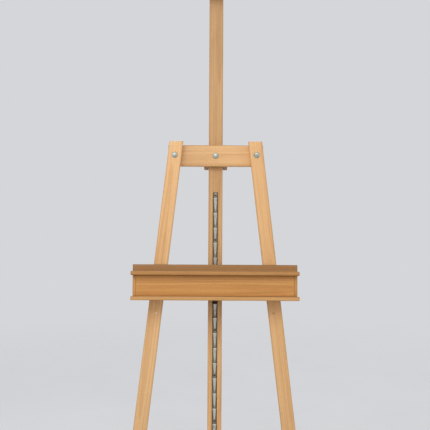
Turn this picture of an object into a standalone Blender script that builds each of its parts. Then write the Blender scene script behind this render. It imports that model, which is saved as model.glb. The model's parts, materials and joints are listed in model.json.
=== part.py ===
"""Wooden studio easel: a leaning frame with a toothed mast, a ratchet tray, a canvas holder and a rear leg.

Units are metres, +Z is up and the front of the easel faces -Y. The pieces of the front frame are laid out
in the leaning frame's own coordinates: X across, Y to the back from the front face of the legs (called
depth), and Z up along the mast (called rise).
"""

import math

import bmesh
import bpy
from mathutils import Matrix, Vector

# Driving dimensions
LEAN = math.radians(12.0)
REAR_LEAN = math.radians(15.0)
SPLAY = math.radians(6.72)
GAP = 0.0003
EDGE_ROUND = 0.0015

LEG_WIDTH = 0.0448
LEG_THICK = 0.022
LEG_SPREAD_AT_FLOOR = 0.2877
LEG_TOP = 1.345

MAST_WIDTH = 0.046
MAST_THICK = 0.028
MAST_BOTTOM = 0.205
MAST_TOP = 1.95

CROSSBAR_THICK = 0.020
LOWER_BAR = {"rise": 0.250, "height": 0.060, "length": 0.545}
TOP_BAR = {"rise": 1.300, "height": 0.070, "length": 0.312}

GROOVE_WIDTH = 0.017
GROOVE_DEPTH = 0.004
STRIP_WIDTH = 0.014
STRIP_THICK = 0.0018
TOOTH_PITCH = 0.0492
TOOTH_LENGTH = 0.0425
SHORT_TOOTH_LENGTH = 0.036
TOOTH_WIDE = 0.00675
TOOTH_NARROW = 0.0042
TOOTH_COUNT = 18
LOWEST_TOOTH = 0.3252
TOOTH_AXIS_SINK = 0.0033
STRIP_MARGIN = 0.0075
STRIP_TOP_MARGIN = 0.018
STRIP_SCREW_ABOVE = 0.0095
FIRST_SCREWED_TOOTH = 2
SCREWED_TOOTH_STEP = 3

TRAY_RISE = 0.8243
TRAY_HEIGHT = 0.0934
TRAY_LENGTH = 0.540
TRAY_BOARD = 0.0131
TRAY_FRONT = -0.076
PANEL_RECESS = 0.020
PANEL_LENGTH = 0.528
BACK_LENGTH = 0.534
PANEL_THICK = 0.010
BACK_FRONT = -0.016
BACK_REAR = -0.001
RIDGE_HEIGHT = 0.023

CHEEK_THICK = 0.015
CARRIAGE_BOTTOM = 0.004
CARRIAGE_ABOVE_TRAY = 0.012
CARRIAGE_PLATE_THICK = 0.012
CARRIAGE_PLATE_INSET = 0.010
CARRIAGE_SCREW_INSET = 0.024

PAWL_WIDTH = 0.016
PAWL_TOOTH = 11
PAWL_PIVOT_DEPTH = 0.0285
PAWL_PIVOT_ABOVE_TOOTH = 0.0336
PAWL_PIN_RADIUS = 0.003
PAWL_HUB_RADIUS = 0.0068
PAWL_TAB_BELOW_TRAY = 0.0095
SPRING_INNER_RADIUS = 0.0034
SPRING_OUTER_RADIUS = 0.0056
SPRING_LENGTH = 0.007

HOLDER_RISE = 1.835
HOLDER_HALF_WIDTH = 0.050
HOLDER_FRONT = -0.046
HOLDER_HEIGHT = 0.050
HOLDER_PLATE_TOP = 0.065
HOLDER_LIP_BOTTOM = 0.027
HOLDER_LIP_THICK = 0.009
HOLDER_FENCE_FRONT = -0.016
HOLDER_FENCE_REAR = -0.004
HOLDER_FENCE_BOTTOM = 0.006
HOLDER_BACK_THICK = 0.016
HOLDER_BACK_INSET = 0.004

CLAMP_PAD_RADIUS = 0.0085
CLAMP_PAD_THICK = 0.003
CLAMP_PAD_TRAVEL = 0.0025
CLAMP_STUD_RADIUS = 0.004
CLAMP_STUD_IN_KNOB = 0.014
KNOB_LENGTH = 0.022
KNOB_LOBES = 5
KNOB_VALLEY_RADIUS = 0.0155
KNOB_LOBE_RADIUS = 0.020
KNOB_CLEARANCE = 0.003

HINGE_RISE = 1.300
HINGE_DEPTH = 0.100
HINGE_BOLT_RADIUS = 0.004
REAR_LEG_WIDTH = 0.0464
REAR_LEG_THICK = 0.024
REAR_LEG_ABOVE_PIVOT = 0.030
HINGE_CHEEK_HEIGHT = 0.076
HINGE_CHEEK_REAR = 0.118
HINGE_SCREW_ABOVE_CHEEK_BOTTOM = 0.016
STOP_BLOCK_ABOVE_PIVOT = 0.008
PIVOT_HEAD_RADIUS = 0.0075
PIVOT_HEAD_LENGTH = 0.0055
PIVOT_THREAD_LENGTH = 0.019
WASHER_RADIUS = 0.0085
WASHER_THICK = 0.0016
WING_HUB_WIDE = 0.0072
WING_HUB_NARROW = 0.0055
WING_HUB_LENGTH = 0.010
WING_HALF_THICK = 0.0014
WING_TURN = 0.5

FRAME_BOLT = {"head": 0.0095, "height": 0.0035, "shank": 0.003}
FRAME_NUT_THICK = 0.005
FRAME_NUT_HALF_WIDTH = 0.005
FRAME_BOLT_SPARE = 0.0025
WOOD_SCREW = {"head": 0.0038, "height": 0.0018, "shank": 0.0018}
STRIP_SCREW = {"head": 0.0029, "height": 0.0014, "shank": 0.0013}
STRIP_SCREW_LENGTH = 0.014
CARRIAGE_SCREW_LENGTH = 0.030
HINGE_SCREW_LENGTH = 0.032
HOLDER_SCREW_LENGTH = 0.034

# Derived places
MAST_FRONT = LEG_THICK + CROSSBAR_THICK + 2 * GAP
MAST_REAR = MAST_FRONT + MAST_THICK
CHEEK_INNER = MAST_WIDTH / 2 + 2 * GAP
CHEEK_OUTER = CHEEK_INNER + CHEEK_THICK
STRIP_REAR = MAST_FRONT + GROOVE_DEPTH - GAP
STRIP_FRONT = STRIP_REAR - STRIP_THICK
PAWL_TOOTH_RISE = LOWEST_TOOTH + PAWL_TOOTH * TOOTH_PITCH
PAWL_PIVOT_RISE = PAWL_TOOTH_RISE + PAWL_PIVOT_ABOVE_TOOTH
HINGE_Y = HINGE_RISE * math.sin(LEAN) + HINGE_DEPTH * math.cos(LEAN)
HINGE_Z = HINGE_RISE * math.cos(LEAN) - HINGE_DEPTH * math.sin(LEAN)
REAR_FOOT_Y = HINGE_Y + HINGE_Z * math.tan(REAR_LEAN) + REAR_LEG_THICK / 2 / math.cos(REAR_LEAN)
FRAME_Y = -REAR_FOOT_Y / 2

for item in list(bpy.data.objects):
    bpy.data.objects.remove(item)


def new_collection(name):
    found = bpy.data.collections.new(name)
    bpy.context.scene.collection.children.link(found)
    return found


EASEL = new_collection("wooden_easel")
CUTTERS = new_collection("cutters")
CUTTERS.hide_render = True


def new_material(name, colour, roughness, metallic):
    made = bpy.data.materials.new(name)
    made.use_nodes = True
    shader = made.node_tree.nodes["Principled BSDF"]
    shader.inputs["Base Color"].default_value = (*colour, 1.0)
    shader.inputs["Roughness"].default_value = roughness
    shader.inputs["Metallic"].default_value = metallic
    return made


BEECH = new_material("oiled_beech", (0.58, 0.33, 0.15), 0.5, 0.0)
STEEL = new_material("zinc_steel", (0.36, 0.38, 0.35), 0.38, 1.0)
DARK_STEEL = new_material("dark_steel", (0.06, 0.058, 0.055), 0.45, 1.0)
BLACK_PLASTIC = new_material("black_plastic", (0.02, 0.02, 0.022), 0.4, 0.0)


def new_empty(name, location, rotation, parent):
    made = bpy.data.objects.new(name, None)
    made.empty_display_size = 0.05
    made.location = location
    made.rotation_euler = rotation
    made.parent = parent
    EASEL.objects.link(made)
    return made


def place(mesh_maker, name, location, parent, material):
    """A new object whose mesh is drawn by mesh_maker(bm) around its own origin."""
    bm = bmesh.new()
    mesh_maker(bm)
    bmesh.ops.recalc_face_normals(bm, faces=bm.faces)
    mesh = bpy.data.meshes.new(name)
    bm.to_mesh(mesh)
    bm.free()
    made = bpy.data.objects.new(name, mesh)
    made.location = location
    made.parent = parent
    if material:
        mesh.materials.append(material)
    return made


def box_mesh(bm, size):
    bmesh.ops.create_cube(bm, size=1.0, matrix=Matrix.Diagonal((*size, 1.0)))


def cone_mesh(bm, low_radius, high_radius, low, high, sides, axis):
    """A cone or cylinder along X, Y or Z from low to high."""
    turn = {
        "X": Matrix.Rotation(math.pi / 2, 4, "Y"),
        "Y": Matrix.Rotation(-math.pi / 2, 4, "X"),
        "Z": Matrix.Identity(4),
    }[axis]
    middle = Matrix.Translation((0.0, 0.0, (low + high) / 2))
    bmesh.ops.create_cone(
        bm,
        cap_ends=True,
        segments=sides,
        radius1=low_radius,
        radius2=high_radius,
        depth=high - low,
        matrix=turn @ middle,
    )


def rounded(item, width=EDGE_ROUND):
    bevel = item.modifiers.new("edge_round", "BEVEL")
    bevel.width = width
    bevel.segments = 1
    bevel.limit_method = "ANGLE"
    return item


def board(name, low, high, parent, material=None, edge=EDGE_ROUND):
    """A board between two corners, given in its parent's coordinates."""
    low, high = Vector(low), Vector(high)
    made = place(lambda bm: box_mesh(bm, high - low), name, (low + high) / 2, parent, material or BEECH)
    EASEL.objects.link(made)
    return rounded(made, edge) if edge else made


def boolean(item, other, operation="DIFFERENCE"):
    modifier = item.modifiers.new(other.name, "BOOLEAN")
    modifier.operation = operation
    modifier.solver = "EXACT"
    modifier.object = other


def as_cutter(item):
    item.hide_render = True
    item.display_type = "WIRE"
    CUTTERS.objects.link(item)
    return item


def drill(items, name, location, parent, radius, axis, low, high, sides=16):
    """Cuts one round hole through each item, along an axis of parent from low to high."""
    cutter = place(
        lambda bm: cone_mesh(bm, radius + GAP, radius + GAP, low, high, sides, axis),
        name + "_hole",
        location,
        parent,
        None,
    )
    as_cutter(cutter)
    for item in items:
        boolean(item, cutter)


def cut_box(item, name, low, high, parent):
    low, high = Vector(low), Vector(high)
    cutter = place(lambda bm: box_mesh(bm, high - low), name + "_cut", (low + high) / 2, parent, None)
    boolean(item, as_cutter(cutter))


def turned(name, profile, location, parent, material, axis, steps=16):
    """A turned piece: profile lists (radius, height) from the top down, turned about X, Y or Z of parent."""
    mesh = bpy.data.meshes.new(name)
    points = [(radius, 0.0, height) for radius, height in profile]
    edges = [(i, i + 1) for i in range(len(points) - 1)]
    mesh.from_pydata(points, edges, [])
    mesh.materials.append(material)
    made = bpy.data.objects.new(name, mesh)
    made.location = location
    made.parent = parent
    made.rotation_euler = {
        "X": (0.0, math.pi / 2, 0.0),
        "Y": (-math.pi / 2, 0.0, 0.0),
        "Z": (0.0, 0.0, 0.0),
    }[axis]
    screw = made.modifiers.new("turn", "SCREW")
    screw.steps = steps
    screw.render_steps = steps
    screw.use_merge_vertices = True
    screw.merge_threshold = 0.00001
    EASEL.objects.link(made)
    return made


def dome_profile(size, shank_end):
    """A domed head standing on height 0, with its shank down to shank_end. size names its dimensions."""
    radius, height, shank_radius = size["head"], size["height"], size["shank"]
    arc = [math.radians(angle) for angle in (90, 60, 30)]
    dome = [(radius * math.cos(a), height * math.sin(a)) for a in arc]
    dome[0] = (0.0, height)
    return dome + [(radius, 0.0), (shank_radius, 0.0), (shank_radius, shank_end), (0.0, shank_end)]


def dome_screw(name, location, parent, axis, out, size, length, into):
    """A domed screw whose head faces the out side (+1 or -1) of axis, with its hole in each item of into."""
    made = turned(name, dome_profile(size, -length), location, parent, STEEL, axis, 12)
    if out < 0:
        made.rotation_euler[{"X": 1, "Y": 0, "Z": 1}[axis]] += math.pi
    depth = length + GAP
    low, high = (-depth, 0.001) if out > 0 else (-0.001, depth)
    drill(into, name, location, parent, size["shank"], axis, low, high, 12)
    return made


def hex_nut(name, location, parent, axis, low, high, half_width, bolt_radius):
    """A six-sided nut from low to high along axis, with its bolt's hole."""
    corner = half_width / math.cos(math.pi / 6)
    made = place(
        lambda bm: cone_mesh(bm, corner, corner, low, high, 6, axis), name, location, parent, STEEL
    )
    EASEL.objects.link(made)
    drill([made], name, location, parent, bolt_radius, axis, low - 0.001, high + 0.001)
    return made


def extruded_outline(name, outline, half_width, location, parent, material):
    """A plate of an outline of (depth, rise) points, extruded along X to both sides."""
    curve = bpy.data.curves.new(name, "CURVE")
    curve.dimensions = "2D"
    curve.fill_mode = "BOTH"
    curve.extrude = half_width
    spline = curve.splines.new("POLY")
    spline.points.add(len(outline) - 1)
    for point, (depth, rise) in zip(spline.points, outline):
        point.co = (depth, rise, 0.0, 1.0)
    spline.use_cyclic_u = True
    drawn = bpy.data.objects.new(name + "_outline", curve)
    EASEL.objects.link(drawn)
    graph = bpy.context.evaluated_depsgraph_get()
    mesh = bpy.data.meshes.new_from_object(drawn.evaluated_get(graph))
    bpy.data.objects.remove(drawn)
    # The outline's X is depth and its Y is rise, so it is turned to stand across X.
    mesh.transform(Matrix(((0, 0, 1, 0), (1, 0, 0, 0), (0, 1, 0, 0), (0, 0, 0, 1))))
    bm = bmesh.new()
    bm.from_mesh(mesh)
    bmesh.ops.remove_doubles(bm, verts=bm.verts, dist=0.000001)
    bmesh.ops.recalc_face_normals(bm, faces=bm.faces)
    bm.to_mesh(mesh)
    bm.free()
    mesh.materials.clear()
    mesh.materials.append(material)
    made = bpy.data.objects.new(name, mesh)
    made.location = location
    made.parent = parent
    EASEL.objects.link(made)
    return made


def arc_points(centre, radius, start, end, count):
    """Points on an arc, with angles in degrees."""
    steps = [math.radians(start + (end - start) * i / (count - 1)) for i in range(count)]
    return [(centre[0] + radius * math.cos(a), centre[1] + radius * math.sin(a)) for a in steps]


lean = new_empty("leaning_frame", (0.0, FRAME_Y, 0.0), (-LEAN, 0.0, 0.0), None)

floor_block = (2.0, 3.0, 0.4)
floor_at = (0.0, 0.0, -floor_block[2] / 2)
floor = as_cutter(place(lambda bm: box_mesh(bm, floor_block), "below_floor", floor_at, None, None))


def build_legs():
    """The two splayed front legs, cut flat at the floor and at their tops."""
    below_floor = 0.04
    length = LEG_TOP / math.cos(SPLAY) + 2 * below_floor
    legs = {}
    for side, sign in (("left", -1), ("right", 1)):
        foot_at = (sign * LEG_SPREAD_AT_FLOOR, 0.0, 0.0)
        foot = new_empty(side + "_leg_line", foot_at, (0.0, -sign * SPLAY, 0.0), lean)
        leg = board(
            side + "_leg",
            (-LEG_WIDTH / 2, 0.0, -below_floor),
            (LEG_WIDTH / 2, LEG_THICK, length),
            foot,
            edge=0.002,
        )
        boolean(leg, floor)
        cut_box(leg, side + "_leg_top", (-0.5, -0.1, LEG_TOP), (0.5, 0.1, LEG_TOP + 0.3), lean)
        legs[side] = leg
    return legs


def leg_centre(rise):
    """The distance from the easel's middle to a leg's centre line."""
    return LEG_SPREAD_AT_FLOOR - rise * math.tan(SPLAY)


def build_crossbars(legs, mast):
    """Crossbars behind the legs, each bolted to both legs and to the mast."""
    front, rear = LEG_THICK + GAP, LEG_THICK + GAP + CROSSBAR_THICK
    for label, bar in (("lower", LOWER_BAR), ("top", TOP_BAR)):
        rise, half = bar["rise"], bar["length"] / 2
        crossbar = board(
            label + "_crossbar",
            (-half, front, rise - bar["height"] / 2),
            (half, rear, rise + bar["height"] / 2),
            lean,
            edge=0.002,
        )
        for side, sign in (("left", -1), ("right", 1)):
            at = (sign * leg_centre(rise), 0.0, rise)
            frame_bolt(f"{label}_{side}_leg_bolt", at, -GAP, rear, [legs[side], crossbar])
        frame_bolt(f"{label}_mast_bolt", (0.0, 0.0, rise), front - 2 * GAP, MAST_REAR, [crossbar, mast])


def frame_bolt(name, at, front, rear, pieces):
    """A carriage bolt from front to rear in depth, with a hex nut behind."""
    radius = FRAME_BOLT["shank"]
    nut_front, nut_rear = rear + GAP, rear + GAP + FRAME_NUT_THICK
    end = nut_rear + FRAME_BOLT_SPARE
    bolt = turned(name, dome_profile(FRAME_BOLT, front - end), (at[0], front, at[2]), lean, STEEL, "Y", 16)
    bolt.rotation_euler = (math.pi / 2, 0.0, 0.0)
    drill(pieces, name, at, lean, radius, "Y", front - 0.02, end + 0.01)
    hex_nut(name.replace("bolt", "nut"), at, lean, "Y", nut_front, nut_rear, FRAME_NUT_HALF_WIDTH, radius)


def build_mast():
    mast = board(
        "mast",
        (-MAST_WIDTH / 2, MAST_FRONT, MAST_BOTTOM),
        (MAST_WIDTH / 2, MAST_REAR, MAST_TOP),
        lean,
        edge=0.0015,
    )
    low, high = strip_ends()
    cut_box(
        mast,
        "mast_groove",
        (-GROOVE_WIDTH / 2, MAST_FRONT - 0.01, low - 0.001),
        (GROOVE_WIDTH / 2, MAST_FRONT + GROOVE_DEPTH, high + 0.001),
        lean,
    )
    return mast


def strip_ends():
    top_tooth = LOWEST_TOOTH + (TOOTH_COUNT - 1) * TOOTH_PITCH
    return LOWEST_TOOTH - TOOTH_LENGTH - STRIP_MARGIN, top_tooth + STRIP_TOP_MARGIN


def tooth_mesh(bm, top, length):
    """A half cone on the strip: a flat shelf at its top, and its axis sinks into the strip at its foot."""
    tilt = math.atan2(TOOTH_AXIS_SINK, length)
    cone = bmesh.new()
    cone_mesh(cone, TOOTH_NARROW, TOOTH_WIDE, -length, 0.0, 16, "Z")
    bmesh.ops.transform(
        cone,
        matrix=Matrix.Translation((0.0, STRIP_FRONT, top)) @ Matrix.Rotation(tilt, 4, "X"),
        verts=cone.verts,
    )
    # The shelf stays square to the mast, and nothing of the cone stands behind the strip.
    shelf = ((0.0, 0.0, top), (0.0, 0.0, 1.0))
    strip_middle = ((0.0, STRIP_FRONT + STRIP_THICK / 2, 0.0), (0.0, 1.0, 0.0))
    for point, normal in (shelf, strip_middle):
        cut = bmesh.ops.bisect_plane(
            cone,
            geom=cone.verts[:] + cone.edges[:] + cone.faces[:],
            plane_co=point,
            plane_no=normal,
            clear_outer=True,
        )
        rim = [item for item in cut["geom_cut"] if isinstance(item, bmesh.types.BMEdge)]
        if rim:
            bmesh.ops.edgenet_fill(cone, edges=rim)
    scratch = bpy.data.meshes.new("tooth")
    cone.to_mesh(scratch)
    cone.free()
    bm.from_mesh(scratch)
    bpy.data.meshes.remove(scratch)


def build_ratchet(mast):
    """The steel strip in the mast's groove. A screw holds it at every third tooth, below a shorter tooth."""
    low, high = strip_ends()
    strip = board(
        "ratchet_strip",
        (-STRIP_WIDTH / 2, STRIP_FRONT, low),
        (STRIP_WIDTH / 2, STRIP_REAR, high),
        lean,
        STEEL,
        edge=0.0,
    )
    tops = [LOWEST_TOOTH + i * TOOTH_PITCH for i in range(TOOTH_COUNT)]
    lengths = [TOOTH_LENGTH] * TOOTH_COUNT
    for above_screw in range(FIRST_SCREWED_TOOTH + 1, TOOTH_COUNT, SCREWED_TOOTH_STEP):
        lengths[above_screw] = SHORT_TOOTH_LENGTH

    def all_teeth(bm):
        for top, length in zip(tops, lengths):
            tooth_mesh(bm, top, length)

    teeth = place(all_teeth, "ratchet_teeth", (0, 0, 0), lean, None)
    boolean(strip, as_cutter(teeth), "UNION")
    for number, top in enumerate(tops[FIRST_SCREWED_TOOTH::SCREWED_TOOTH_STEP], start=1):
        at = (0.0, STRIP_FRONT - GAP, top + STRIP_SCREW_ABOVE)
        into = [strip, mast]
        dome_screw(f"strip_screw_{number}", at, lean, "Y", -1, STRIP_SCREW, STRIP_SCREW_LENGTH, into)


def build_tray():
    """The tray's box and its carriage around the mast. Returns the empty that slides along the mast."""
    slide = new_empty("tray_slide", (0.0, 0.0, TRAY_RISE), (0.0, 0.0, 0.0), lean)
    half, panel_half, back_half = TRAY_LENGTH / 2, PANEL_LENGTH / 2, BACK_LENGTH / 2
    joint = BACK_FRONT - GAP
    board("tray_bottom", (-half, TRAY_FRONT, 0.0), (half, joint, TRAY_BOARD), slide)
    board("tray_ledge", (-half, TRAY_FRONT, TRAY_HEIGHT - TRAY_BOARD), (half, joint, TRAY_HEIGHT), slide)
    low, high = TRAY_BOARD + GAP, TRAY_HEIGHT - TRAY_BOARD - GAP
    panel_front = TRAY_FRONT + PANEL_RECESS
    end_inner = panel_half - PANEL_THICK
    board(
        "tray_front_panel",
        (-end_inner + GAP, panel_front, low),
        (end_inner - GAP, panel_front + PANEL_THICK, high),
        slide,
        edge=0.0006,
    )
    for side, sign in (("left", -1), ("right", 1)):
        xs = sorted((sign * end_inner, sign * panel_half))
        board(f"tray_{side}_end", (xs[0], panel_front, low), (xs[1], joint, high), slide, edge=0.0006)
    back_top = TRAY_HEIGHT + RIDGE_HEIGHT
    board("tray_back", (-back_half, BACK_FRONT, 0.0), (back_half, BACK_REAR, back_top), slide)
    build_carriage(slide)
    return slide


def build_carriage(slide):
    """Two cheeks beside the mast, a plate behind it, and the pawl's pin between the cheeks."""
    low, high = CARRIAGE_BOTTOM, TRAY_HEIGHT + CARRIAGE_ABOVE_TRAY
    rear = MAST_REAR + 2 * GAP
    cheeks = {}
    for side, sign in (("left", -1), ("right", 1)):
        xs = sorted((sign * CHEEK_INNER, sign * CHEEK_OUTER))
        front_low, rear_high = (xs[0], BACK_REAR + GAP, low), (xs[1], rear, high)
        cheeks[side] = board(f"carriage_{side}_cheek", front_low, rear_high, slide)
    plate = board(
        "carriage_plate",
        (-CHEEK_OUTER, rear + GAP, low + CARRIAGE_PLATE_INSET),
        (CHEEK_OUTER, rear + GAP + CARRIAGE_PLATE_THICK, high - CARRIAGE_PLATE_INSET),
        slide,
    )
    screw_rise = {"lower": low + CARRIAGE_SCREW_INSET, "upper": high - CARRIAGE_SCREW_INSET}
    for level, rise in screw_rise.items():
        for side, sign in (("left", -1), ("right", 1)):
            dome_screw(
                f"carriage_{level}_{side}_screw",
                (sign * (CHEEK_INNER + CHEEK_THICK / 2), rear + CARRIAGE_PLATE_THICK + 2 * GAP, rise),
                slide,
                "Y",
                1,
                WOOD_SCREW,
                CARRIAGE_SCREW_LENGTH,
                [plate, cheeks[side]],
            )
    pin_at = (0.0, PAWL_PIVOT_DEPTH, PAWL_PIVOT_RISE - TRAY_RISE)
    pin_half = CHEEK_OUTER + GAP
    pin = place(
        lambda bm: cone_mesh(bm, PAWL_PIN_RADIUS, PAWL_PIN_RADIUS, -pin_half, pin_half, 16, "X"),
        "pawl_pin",
        pin_at,
        slide,
        STEEL,
    )
    EASEL.objects.link(pin)
    drill(cheeks.values(), "pawl_pin", pin_at, slide, PAWL_PIN_RADIUS, "X", -0.06, 0.06)


def build_pawl(slide):
    """The pawl stands on a tooth's shelf, and its tail hangs below the tray as the release tab."""
    pivot_at = (0.0, PAWL_PIVOT_DEPTH, PAWL_PIVOT_RISE - TRAY_RISE)
    pivot = new_empty("pawl_pivot", pivot_at, (0.0, 0.0, 0.0), slide)
    hub = PAWL_HUB_RADIUS
    tip_depth = MAST_FRONT - 2 * GAP - PAWL_PIVOT_DEPTH
    # The nose is an arc about the pivot, so that it swings clear of the shelf's front edge.
    shelf_edge = STRIP_FRONT - TOOTH_WIDE - PAWL_PIVOT_DEPTH
    nose_radius = math.hypot(shelf_edge, PAWL_PIVOT_ABOVE_TOOTH) - GAP
    nose_start, nose_end = (-math.degrees(math.acos(depth / nose_radius)) for depth in (0.004, tip_depth))
    tab_end = -(PAWL_PIVOT_RISE - TRAY_RISE) - PAWL_TAB_BELOW_TRAY
    outline = (
        arc_points((0.0, 0.0), hub, 0.0, 180.0, 9)
        + [(-hub, -0.012), (-0.007, -0.045), (-0.009, tab_end + 0.004), (-0.0135, tab_end)]
        + [(-0.0105, tab_end - 0.0018), (-0.0055, tab_end + 0.003), (-0.0035, -0.046)]
        + arc_points((0.0, 0.0), nose_radius, nose_start, nose_end, 6)
        + [(tip_depth, -0.0265), (hub, -0.010)]
    )
    pawl = extruded_outline("pawl", outline[::-1], PAWL_WIDTH / 2, (0.0, 0.0, 0.0), pivot, DARK_STEEL)
    drill([pawl], "pawl", (0.0, 0.0, 0.0), pivot, PAWL_PIN_RADIUS, "X", -0.02, 0.02)
    inner, outer, length = SPRING_INNER_RADIUS, SPRING_OUTER_RADIUS, SPRING_LENGTH
    profile = [(inner, length), (outer, length), (outer, 0.0), (inner, 0.0), (inner, length)]
    turned("pawl_spring", profile, (PAWL_WIDTH / 2 + GAP, 0.0, 0.0), pivot, STEEL, "X", 14)


def build_rear_leg():
    """The rear leg stands open on its stop, and its empty lies on the hinge's axis."""
    hinge = new_empty("rear_leg_hinge", (0.0, HINGE_Y + FRAME_Y, HINGE_Z), (REAR_LEAN, 0.0, 0.0), None)
    length = HINGE_Z / math.cos(REAR_LEAN) + 0.03
    leg = board(
        "rear_leg",
        (-REAR_LEG_WIDTH / 2, -REAR_LEG_THICK / 2, -length),
        (REAR_LEG_WIDTH / 2, REAR_LEG_THICK / 2, REAR_LEG_ABOVE_PIVOT),
        hinge,
        edge=0.002,
    )
    boolean(leg, floor)
    drill([leg], "rear_leg", (0.0, 0.0, 0.0), hinge, HINGE_BOLT_RADIUS, "X", -0.04, 0.04)


def build_hinge(mast):
    """Cheeks on both sides of the mast, the leg's stop, and the pivot bolt with its washer and wing nut."""
    low, high = HINGE_RISE - HINGE_CHEEK_HEIGHT / 2, HINGE_RISE + HINGE_CHEEK_HEIGHT / 2
    front = MAST_FRONT + GAP
    pivot_at = (0.0, HINGE_DEPTH, HINGE_RISE)
    cheeks = []
    for side, sign in (("left", -1), ("right", 1)):
        xs = sorted((sign * CHEEK_INNER, sign * CHEEK_OUTER))
        cheek = board(f"hinge_{side}_cheek", (xs[0], front, low), (xs[1], HINGE_CHEEK_REAR, high), lean)
        screw_depth = (MAST_FRONT + MAST_REAR) / 2 + GROOVE_DEPTH
        at = (sign * (CHEEK_OUTER + GAP), screw_depth, low + HINGE_SCREW_ABOVE_CHEEK_BOTTOM)
        dome_screw(f"hinge_{side}_screw", at, lean, "X", sign, WOOD_SCREW, HINGE_SCREW_LENGTH, [cheek, mast])
        cheeks.append(cheek)
    stop_depth = stop_face_depth()
    board(
        "leg_stop_block",
        (-MAST_WIDTH / 2, MAST_REAR + GAP, HINGE_RISE + STOP_BLOCK_ABOVE_PIVOT),
        (MAST_WIDTH / 2, stop_depth, high),
        lean,
        edge=0.0006,
    )
    shaft_start, shaft_end = -CHEEK_OUTER - 0.002, CHEEK_OUTER + PIVOT_THREAD_LENGTH
    bolt = place(
        lambda bm: cone_mesh(bm, HINGE_BOLT_RADIUS, HINGE_BOLT_RADIUS, shaft_start, shaft_end, 16, "X"),
        "pivot_bolt",
        pivot_at,
        lean,
        STEEL,
    )
    EASEL.objects.link(bolt)
    head_end = -CHEEK_OUTER - GAP
    head_start = head_end - PIVOT_HEAD_LENGTH
    head = place(
        lambda bm: cone_mesh(bm, PIVOT_HEAD_RADIUS, PIVOT_HEAD_RADIUS, head_start, head_end, 6, "X"),
        "pivot_bolt_head",
        pivot_at,
        lean,
        None,
    )
    boolean(bolt, as_cutter(head), "UNION")
    drill(cheeks, "pivot_bolt", pivot_at, lean, HINGE_BOLT_RADIUS, "X", -0.06, 0.06)
    build_wing_nut(pivot_at)


def stop_face_depth():
    """The depth of the open leg's upper front corner, less the gap to the stop block."""
    angle = LEAN + REAR_LEAN
    corner = HINGE_DEPTH - REAR_LEG_ABOVE_PIVOT * math.sin(angle) - REAR_LEG_THICK / 2 * math.cos(angle)
    return corner - GAP


def build_wing_nut(pivot_at):
    """The washer on the right cheek, and the nut: a tapering hub with two wings, drilled for the bolt."""
    start = CHEEK_OUTER + GAP
    washer_end = start + WASHER_THICK
    washer = place(
        lambda bm: cone_mesh(bm, WASHER_RADIUS, WASHER_RADIUS, start, washer_end, 20, "X"),
        "pivot_washer",
        pivot_at,
        lean,
        STEEL,
    )
    EASEL.objects.link(washer)
    nut_start = washer_end + GAP
    nut_end = nut_start + WING_HUB_LENGTH
    nut = place(
        lambda bm: cone_mesh(bm, WING_HUB_WIDE, WING_HUB_NARROW, nut_start, nut_end, 16, "X"),
        "wing_nut",
        pivot_at,
        lean,
        STEEL,
    )
    EASEL.objects.link(nut)
    outline = [
        (0.004, 0.001),
        (0.015, 0.009),
        (0.0205, 0.013),
        (0.0215, 0.0175),
        (0.017, 0.019),
        (0.011, 0.0165),
        (0.004, 0.009),
    ]
    wing_piece = extruded_outline("wing_nut_wing", outline, WING_HALF_THICK, pivot_at, lean, STEEL)
    other_piece = extruded_outline("wing_nut_other_wing", outline, WING_HALF_THICK, pivot_at, lean, STEEL)
    # An outline's depth becomes the wing's reach along Y, and its rise the distance along X.
    to_x = Matrix(((0, 0, 1, nut_start), (0, 1, 0, 0), (1, 0, 0, 0), (0, 0, 0, 1)))
    for piece, turn in ((wing_piece, 0.0), (other_piece, math.pi)):
        EASEL.objects.unlink(piece)
        piece.data.transform(Matrix.Rotation(turn + WING_TURN, 4, "X") @ to_x)
        piece.data.flip_normals()
        boolean(nut, as_cutter(piece), "UNION")
    drill([washer, nut], "wing_nut", pivot_at, lean, HINGE_BOLT_RADIUS, "X", start - 0.001, nut_start + 0.02)


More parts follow.
